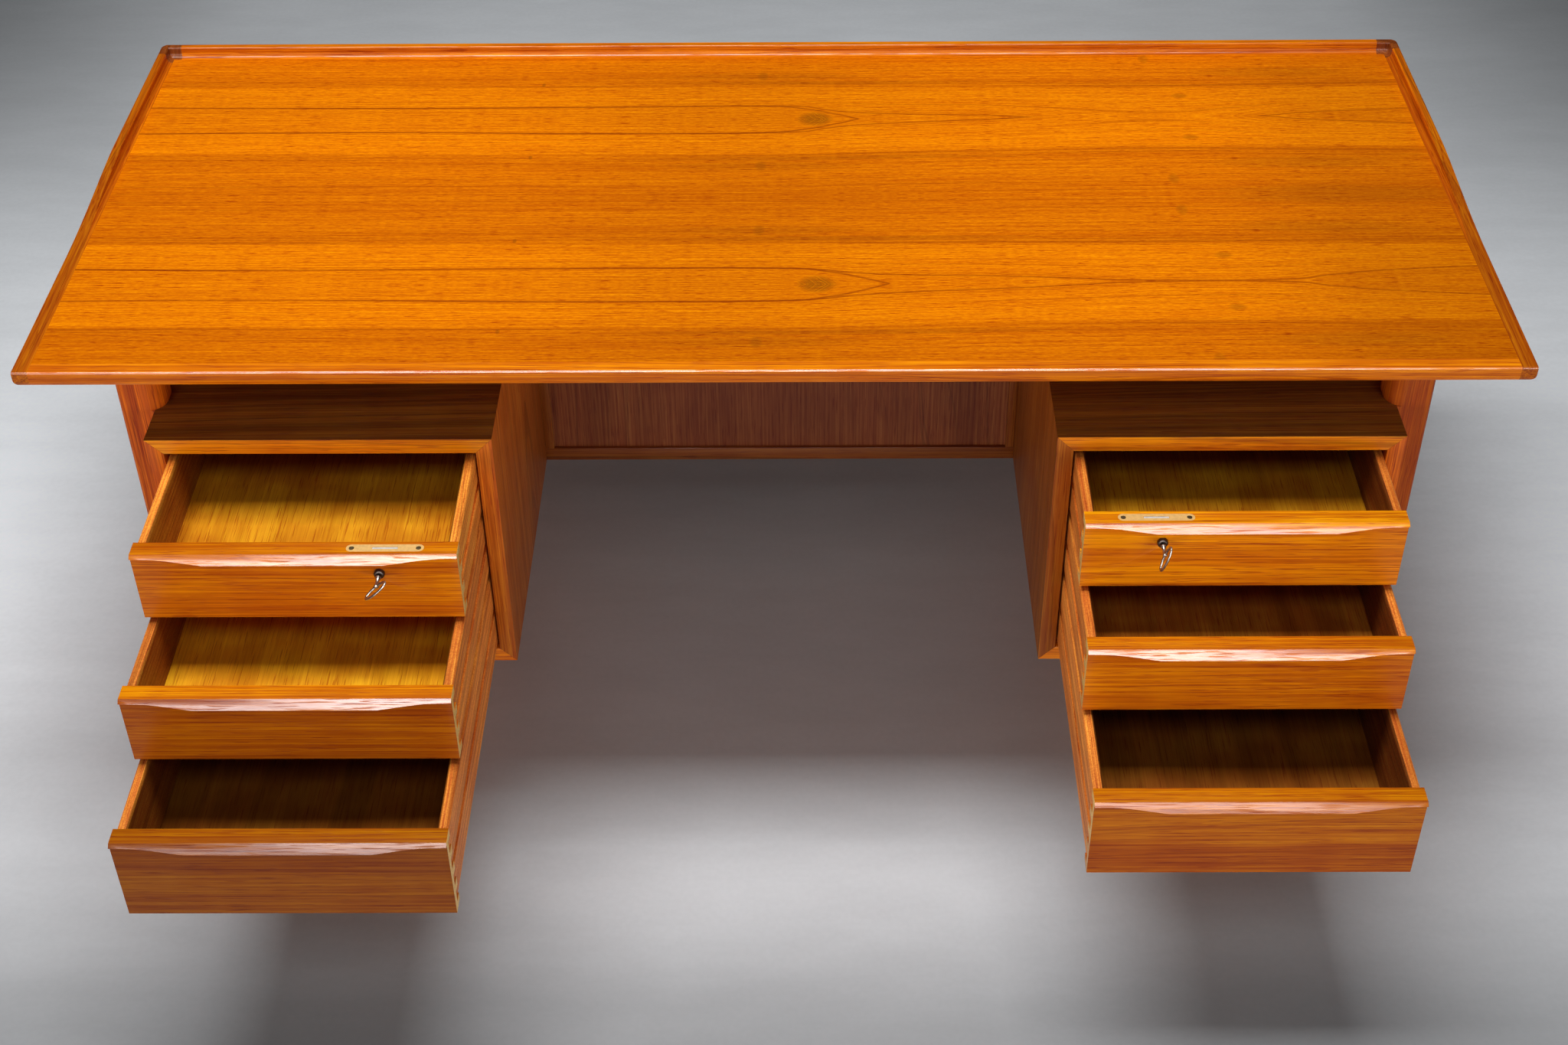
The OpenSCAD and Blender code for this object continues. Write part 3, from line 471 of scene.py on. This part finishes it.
# For each pedestal: sign of its x, its first seed, its share of the legs' and the inner board's tones, the
# latter a painted shade, that board's painted light at the top, and the gain of the painted shade on the
# drawers' inward faces
PEDESTALS = {
    "left": dict(sign=-1, seed=13.0, legs=1.25, inner=(1.05, 1.08), inner_top=1.6, inward=(0.40, 0.41, 0.3)),
    "right": dict(sign=1, seed=23.0, legs=0.84, inner=(0.80, 0.86), inner_top=1.3, inward=(0.23, 0.20, 0.2)),
}
# Distance of a drawer's middle from the desk's
DRAWER_X = 0.527
# The fronts' end grain, pale as in the dovetails
END_GRAIN = (0.98, 0.60, 0.17)
# Share of the side tones' red and green, and that of the left top drawer, whose sides get more painted light
SIDE_SHARES, LIT_SIDE_SHARES = (1.5, 1.7), (1.8, 2.3)
# Painted light on the side lips' faces that look over the desktop: the middle x and its gain
LIP_INSIDE = (0.0, (1.2, 1.08, 1.0))
# Heights between which a painted light grows on the inner boards, and its gain at the lower one, a painted
# shade
INNER_LOW, INNER_HIGH, INNER_FOOT = 0.30, 0.66, 0.92


def dress(node, material):
    nodes[node].data.materials.clear()
    nodes[node].data.materials.append(material)


def timber(node, axis, seed, **looks):
    """Dress a node in a wood of its own."""
    dress(node, wood(f"{node}_wood", axis, seed, **looks))


dress("top_panel", leaf_wood("veneer_top"))
timber("front_strip", "X", 1.0, **TEAK, centre=(-0.25, 0.66), slope=0.012, lines=0.6)
timber("back_lip", "X", 2.0, **TEAK, centre=(0.5, 0.6), slope=-0.016, lines=0.6, nose=0.4, steep=0.6,
       gentle=-0.12, shine=0.05, coat=0.02)
# Side lips: darker teak as a painted shade, with painted light on the faces that look over the desktop
timber("side_lip_left", "Y", 3.0, **LIP, centre=(-0.80, 0.66), slope=0.01, inside=LIP_INSIDE)
timber("side_lip_right", "Y", 4.0, **LIP, centre=(0.80, 0.66), slope=0.01, inside=LIP_INSIDE)
timber("corner_blocks", "Z", 5.0, **BLOCK, centre=(0.9, 0.7), slope=0.1, ring=300.0, nose=0.25)
for i, leg in enumerate(("leg_front_left", "leg_front_right", "leg_back_left", "leg_back_right")):
    timber(leg, "Z", 6.3 + i, **toned(RED, PEDESTALS[leg.split("_")[-1]]["legs"]), centre=(-0.6, 0.1),
           slope=0.02, ring=170.0)
timber("top_battens", "Y", 11.0, **TEAK)
timber("top_risers", "Y", 12.0, **RED)
for side, pedestal in PEDESTALS.items():
    s, sx = pedestal["seed"], pedestal["sign"]
    # Top boards: shaded tones as a painted shade, with painted light on the front edges
    timber(f"{side}_top_board", "X", s, **toned(SHADED, 0.80), centre=(0.1, 0.45), slope=0.03, ring=260.0,
           lines=0.7, front_gain=(3.7, 3.5, 0.4))
    timber(f"{side}_bottom_board", "X", s + 1, **TEAK, centre=(0.1, 0.15), slope=0.02)
    # Inner boards: darker tones as a painted shade, with painted light towards the top and on the front edges
    timber(f"{side}_inner_board", "Z", s + 2, **toned(INNER, *pedestal["inner"]), centre=(sx * 0.2, 0.1),
           slope=0.02, front_gain=(1.35, 1.3, 0.8),
           lift=(INNER_LOW, INNER_HIGH, INNER_FOOT, pedestal["inner_top"]))
    # Outer boards: painted light on the front edges
    timber(f"{side}_outer_board", "Z", s + 3, **RED, centre=(sx * 0.6, 0.1), slope=0.02,
           front_gain=(1.3, 1.4, 1.0))
    timber(f"{side}_back_panel", "Z", s + 4, **RED)
    for i, row in enumerate(("top", "middle", "bottom")):
        n = f"{side}_{row}"
        drawer = DRAWERS[n]
        q = s + 30.0 + 7.3 * i
        # Fronts: the shares of the teak and the top gains are painted light and shade
        timber(f"{n}_front", "X", q, **toned(TEAK, *drawer["front"]), centre=(-0.1, 0.3 + 0.1 * i),
               slope=0.012, lines=0.36, end_tone=END_GRAIN, band=drawer["stripe"], nose=drawer["nose"],
               top_gain=drawer["top"])
        # Sides: painted shade on inward faces, painted light and shade on top edges
        shares = LIT_SIDE_SHARES if n == "left_top" else SIDE_SHARES
        timber(f"{n}_sides", "Y", q + 1, **toned(SIDE, *shares), centre=(sx * 0.5, 0.2), slope=0.02,
               rough=0.5, nose=0.2, mottle=0.2, top_gain=(0.90, 0.85, 0.8),
               inside=(sx * DRAWER_X, pedestal["inward"]))
        timber(f"{n}_rear", "X", q + 2, **toned(SIDE, 0.6), rough=0.5)
        timber(f"{n}_base", "Y", q + 3, **drawer["base"], centre=(0.0, 0.2), slope=0.05, ring=90.0,
               lines=0.12, coat=0.05, flame=1.3, streaks=0.4)
timber("drawer_runners", "Y", 80.0, **SIDE, rough=0.5, coat=0.0)
# Knee-hole panel, rails and strips: darker tones as a painted shade
timber("modesty_panel", "Z", 81.0, **PANEL, centre=(0.0, 0.9), slope=0.02, lines=0.4)
timber("modesty_rails", "X", 82.0, **toned(INNER, 0.58))
timber("modesty_strips", "Z", 83.0, **toned(INNER, 0.7))
brass = metal("plate_brass", (1.0, 0.63, 0.22), 0.42, 0.22, 0.3)
dull_brass = metal("screw_brass", (0.20, 0.15, 0.07), 0.45, 0.6, 0.8)
bright_steel = metal("bolt_steel", (0.90, 0.88, 0.82), 0.40, 0.2, 0.4)
steel = metal("key_steel", (0.50, 0.45, 0.40), 0.27, 0.6)
dark_steel = metal("barrel_steel", (0.10, 0.080, 0.070), 0.34, 0.6)
for side in PEDESTALS:
    dress(f"{side}_lock", brass)
    dress(f"{side}_plate_screws", dull_brass)
    dress(f"{side}_bolt", bright_steel)
    dress(f"{side}_barrel", dark_steel)
    dress(f"{side}_key", steel)


# Widths of the softened arrises on the sawn boards and fronts, whose edges catch the light
FRONT_ARRIS, BOARD_ARRIS = 0.0008, 0.0005
WELD_GAP = 0.000005
SMOOTH_ANGLE, ARRIS_ANGLE = math.radians(28.0), math.radians(30.0)
# Pieces that are only shaded smooth
SMOOTH_ONLY = ("leg_", "side_lip", "back_lip", "front_strip", "corner", "drawer_runners")


def smooth_group():
    """Geometry nodes that shade a piece smooth, save where its faces meet at more than the smooth angle."""
    g = bpy.data.node_groups.new("smooth_by_angle", "GeometryNodeTree")
    g.interface.new_socket("Geometry", in_out="INPUT", socket_type="NodeSocketGeometry")
    g.interface.new_socket("Geometry", in_out="OUTPUT", socket_type="NodeSocketGeometry")
    made = [g.nodes.new(kind) for kind in (
        "NodeGroupInput", "GeometryNodeRemoveAttribute", "GeometryNodeMergeByDistance",
        "GeometryNodeSetShadeSmooth", "GeometryNodeSetShadeSmooth", "NodeGroupOutput")]
    made[1].inputs["Name"].default_value = "custom_normal"
    made[2].inputs["Distance"].default_value = WELD_GAP
    made[3].inputs["Shade Smooth"].default_value = True
    made[4].domain = "EDGE"
    angle = g.nodes.new("GeometryNodeInputMeshEdgeAngle")
    flat = g.nodes.new("FunctionNodeCompare")
    flat.operation = "LESS_EQUAL"
    flat.inputs[1].default_value = SMOOTH_ANGLE
    g.links.new(angle.outputs[0], flat.inputs[0])
    g.links.new(flat.outputs[0], made[4].inputs["Shade Smooth"])
    for a, b in zip(made, made[1:]):
        g.links.new(a.outputs[0], b.inputs["Geometry" if "Geometry" in b.inputs else 0])
    return g


SMOOTH = smooth_group()


def ease(node, width):
    """Shade a board smooth, with its arrises softened first if a width is given."""
    o = nodes[node]
    if width:
        o.modifiers.new("weld", "WELD").merge_threshold = WELD_GAP
        m = o.modifiers.new("arris", "BEVEL")
        m.width, m.segments, m.limit_method, m.angle_limit = width, 2, "ANGLE", ARRIS_ANGLE
    o.modifiers.new("smooth", "NODES").node_group = SMOOTH


for name in nodes:
    if name.endswith("_front"):
        ease(name, FRONT_ARRIS)
    elif name.endswith(("_board", "_rails", "_strips")):
        ease(name, BOARD_ARRIS)
    elif name.endswith("_sides") or name.startswith(SMOOTH_ONLY):
        ease(name, 0.0)


# Keys: an oval bow with a rounded rim, a collared shank and a notched bit. Half sizes of the bow across and
# along the shank, half width and half thickness of its rim, radii of the shank, its tips and its collar, then
# the bit's length, half thicknesses, distance from the inner end and depth left by its ward cut
BOW_HALF, BOW_WIDE, RIM, RIM_THICK = 0.0175, 0.0086, 0.0018, 0.0013
SHANK_R, TIP_R, COLLAR_R = 0.0021, 0.0016, 0.0033
BIT_LONG, BIT_HALF, BIT_THICK, BIT_BACK, WARD = 0.0058, 0.0013, 0.0015, 0.0040, 0.72
# The shank's outline, as radius and distance from the bow, from the barrel's lip and from the inner end
SHANK_ROOT = [(TIP_R, 0.0), (0.0026, 0.0010), (0.0027, 0.0022), (0.0019, 0.0034), (SHANK_R, 0.0050)]
SHANK_COLLAR = [(SHANK_R, -0.0052), (0.0031, -0.0046), (COLLAR_R, -0.0036), (0.0031, -0.0026),
                (SHANK_R, -0.0020)]
SHANK_END = [(SHANK_R, -0.0006), (TIP_R, 0.0)]
# How far each bow is turned round its shank in the photo, in degrees
KEY_ANGLES = {"left": 42.0, "right": 74.0}


def mesh_piece(name, verts, faces, material):
    mesh = bpy.data.meshes.new(name)
    mesh.from_pydata(verts, [], faces)
    for polygon in mesh.polygons:
        polygon.use_smooth = True
    mesh.materials.append(material)
    o = bpy.data.objects.new(name, mesh)
    scene.collection.objects.link(o)
    return o


def turned(profile, around=32):
    """Closed form turned round the Y axis, from radius and place pairs."""
    verts = [(r * math.cos(2 * math.pi * k / around), y, r * math.sin(2 * math.pi * k / around))
             for r, y in profile for k in range(around)]
    faces = [(i * around + k, i * around + (k + 1) % around, (i + 1) * around + (k + 1) % around,
              (i + 1) * around + k) for i in range(len(profile) - 1) for k in range(around)]
    faces.append(tuple(range(around))[::-1])
    faces.append(tuple((len(profile) - 1) * around + k for k in range(around)))
    return verts, faces


def oval_ring(steps=72, around=14):
    """Rim of the bow in the XY plane, fuller at the shank."""
    verts, faces = [], []
    for i in range(steps):
        a = 2 * math.pi * i / steps
        cx, cy = (BOW_HALF - RIM) * math.cos(a), (BOW_WIDE - RIM) * math.sin(a)
        nx, ny = (BOW_WIDE - RIM) * math.cos(a), (BOW_HALF - RIM) * math.sin(a)
        n = math.hypot(nx, ny)
        full = 1.0 + 0.25 * max(0.0, math.sin(a)) ** 6
        for k in range(around):
            b = 2 * math.pi * k / around
            out = RIM * math.cos(b)
            verts.append((cx + nx / n * out, cy + ny / n * out, RIM_THICK * full * math.sin(b)))
    for i in range(steps):
        for k in range(around):
            j, m = (i + 1) % steps, (k + 1) % around
            faces.append((i * around + k, j * around + k, j * around + m, i * around + m))
    return verts, faces


def notched_bit():
    """Flat bit towards -X, with a ward cut in its edge."""
    edge, deep, step = -BIT_LONG, -BIT_LONG * WARD, BIT_THICK * 0.45
    outline = [(0.0, -BIT_THICK), (0.0, BIT_THICK), (edge, BIT_THICK), (edge, step), (deep, step),
               (deep, 0.0), (edge, 0.0), (edge, -BIT_THICK)]
    n = len(outline)
    verts = [(x, y, z) for z in (-BIT_HALF, BIT_HALF) for x, y in outline]
    faces = [tuple(range(n)), tuple(range(n, 2 * n))[::-1]]
    faces += [(i, n + i, n + (i + 1) % n, (i + 1) % n) for i in range(n)]
    return verts, faces


def key(side, angle):
    """Key in its barrel, with its bow turned round the shank by an angle in degrees."""
    low, high = (Vector(v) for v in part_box(f"{side}_barrel"))
    node_low, node_high = (Vector(v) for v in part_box(f"{side}_key"))
    tip = node_low.y + 2 * BOW_WIDE - RIM * 2
    inner = node_high.y
    stretches = ((tip, SHANK_ROOT), (low.y, SHANK_COLLAR), (inner, SHANK_END))
    shank = [(r, start + y) for start, outline in stretches for r, y in outline]
    verts, faces = [], []
    for (points, sides), forward in ((turned(shank), 0.0), (oval_ring(), node_low.y + BOW_WIDE),
                                     (notched_bit(), inner - BIT_BACK)):
        faces += [tuple(i + len(verts) for i in side_face) for side_face in sides]
        verts += [(x, y + forward, z) for x, y, z in points]
    across, upright = math.cos(math.radians(angle)), math.sin(math.radians(angle))
    centre = (low + high) / 2
    placed = [(centre.x + x * across - z * upright, y, centre.z + x * upright + z * across)
              for x, y, z in verts]
    o = mesh_piece(f"{side}_key_form", placed, faces, steel)
    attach(o, f"{side}_key_piece")
    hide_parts(f"{side}_key")


for side, angle in KEY_ANGLES.items():
    key(side, angle)


# Floor and studio; the floor's lighter and darker parts are painted light and shade.
# Floor and studio, whose lighter and darker parts follow the photo's
FLOOR_GREY, FLOOR_ROUGH = (0.752, 0.782, 0.812), 0.65
FLOOR_LEFT, FLOOR_RIGHT, FLOOR_FRONT, FLOOR_BACK = -9, 9, -6, 9
WORLD_COLOUR, WORLD_POWER = (0.55, 0.57, 0.60, 1.0), 0.05
# Painted floor light and shade: two distances in metres, and the shares at each if they aren't zero and one.
# WIDE is measured sideways from the middle, NEAR and FAR along the depth
# Painted shade in the far corners, painted light beside the desk, painted shade in front and light behind
CORNERS_WIDE, CORNERS_FAR = (0.5, 2.0, 0.0, 0.86), (0.4, 2.2)
BESIDE_WIDE, BESIDE_NEAR, BESIDE_FAR = (0.75, 1.25, 0.0, 0.52), (-0.35, 0.1), (0.9, 1.8, 1.0, 0.4)
MIDDLE_NEAR, MIDDLE_FAR = (-0.60, -0.15, 0.44, 0.84), (0.9, 2.0, 1.0, 1.3)
# A painted shadow under the knee-hole and a painted band of light across the front
KNEE_WIDE, KNEE_NEAR, KNEE_FAR = (0.34, 0.48, 0.19, 0.0), (-0.31, -0.17), (0.5, 0.75, 1.0, 0.0)
DRAWERS_NEAR, DRAWERS_FAR = (-0.50, -0.37, 0.0, 0.11), (-0.31, -0.20, 1.0, 0.0)
# Lamps: place, the place they point at and size in metres, and power in watts. The last is seen only in the
# pulls and edges, like the photo's large window of light
LAMPS = (
    dict(name="overhead", at=(-0.45, -0.31, 4.0), towards=(-0.45, -0.31, 0.0), size=(3.0, 0.78),
         power=123.0),
    dict(name="low_front", at=(-1.7, -3.3, 0.5), towards=(0.0, -0.4, 0.45), size=(1.8, 0.7), power=34.0),
    dict(name="low_front", at=(1.7, -3.3, 0.5), towards=(0.0, -0.4, 0.45), size=(1.8, 0.7), power=34.0),
    dict(name="soft_fill", at=(0.0, -2.6, 3.4), towards=(0.0, -0.3, 0.4), size=(3.0, 0.8), power=18.0,
         glossy=False),
    dict(name="front_shine", at=(0.0, -2.7, 2.1), towards=(0.0, -0.3, 0.5), size=(3.2, 1.9), power=128.0,
         diffuse=False),
)


def floor_tone(t):
    """Painted light and shade on the floor, as a share from place to place."""
    x, y, _ = t.split(t.coords)
    wide = t.math("ABSOLUTE", x)
    # Painted shade in the far corners, painted light beside, painted shade in front and light behind
    far_corners = t.times(t.ramp(wide, *CORNERS_WIDE), t.ramp(y, *CORNERS_FAR))
    beside = t.times(t.ramp(wide, *BESIDE_WIDE), t.times(t.ramp(y, *BESIDE_NEAR), t.ramp(y, *BESIDE_FAR)))
    middle = t.times(t.ramp(y, *MIDDLE_NEAR), t.ramp(y, *MIDDLE_FAR))
    # Painted shadow under the knee-hole, painted band of light across the front
    knee_hole = t.times(t.ramp(wide, *KNEE_WIDE), t.times(t.ramp(y, *KNEE_NEAR), t.ramp(y, *KNEE_FAR)))
    under_drawers = t.times(t.ramp(y, *DRAWERS_NEAR), t.ramp(y, *DRAWERS_FAR))
    tone = t.times(t.math("SUBTRACT", t.math("ADD", 1.0, beside), far_corners), middle)
    return t.times(tone, t.math("ADD", t.math("SUBTRACT", 1.0, knee_hole), under_drawers))


def stage():
    t = Tree("floor_grey")
    scuff = t.noise(t.vmath("MULTIPLY", t.coords, (5.0, 16.0, 1.0)), 1.0, 5.0, 0.65)
    # Random tone and scuffs, times the floor's painted light and shade
    tone = t.times(t.ramp(t.noise(t.coords, 1.4, 3.0), 0.3, 0.7, 0.96, 1.03),
                   t.ramp(scuff, 0.3, 0.7, 0.97, 1.03),
                   t.ramp(t.noise(t.coords, 120.0, 3.0), 0.3, 0.7, 0.985, 1.015), floor_tone(t))
    t.set(Base_Color=t.scale_colour(FLOOR_GREY, tone), Roughness=FLOOR_ROUGH)
    t.bump(scuff, 0.002, 0.15)
    mesh = bpy.data.meshes.new("floor")
    corners = [(FLOOR_LEFT, FLOOR_FRONT, 0), (FLOOR_RIGHT, FLOOR_FRONT, 0), (FLOOR_RIGHT, FLOOR_BACK, 0),
               (FLOOR_LEFT, FLOOR_BACK, 0)]
    mesh.from_pydata(corners, [], [(0, 1, 2, 3)])
    floor = bpy.data.objects.new("floor", mesh)
    mesh.materials.append(t.mat)
    scene.collection.objects.link(floor)
    world = bpy.data.worlds.new("studio")
    scene.world = world
    world.use_nodes = True
    background = world.node_tree.nodes["Background"].inputs
    background[0].default_value, background[1].default_value = WORLD_COLOUR, WORLD_POWER


def softbox(name, at, towards, size, power, glossy=True, diffuse=True):
    """Rectangular lamp at a place, aimed at another, which gloss or plain surfaces may leave out."""
    light = bpy.data.lights.new(name, "AREA")
    light.shape, light.size, light.size_y = "RECTANGLE", size[0], size[1]
    light.energy = power
    o = bpy.data.objects.new(name, light)
    o.location = at
    o.rotation_mode = "QUATERNION"
    o.rotation_quaternion = (Vector(towards) - Vector(at)).to_track_quat("-Z", "Y")
    o.visible_glossy, o.visible_diffuse = glossy, diffuse
    scene.collection.objects.link(o)


stage()
for lamp in LAMPS:
    softbox(**lamp)
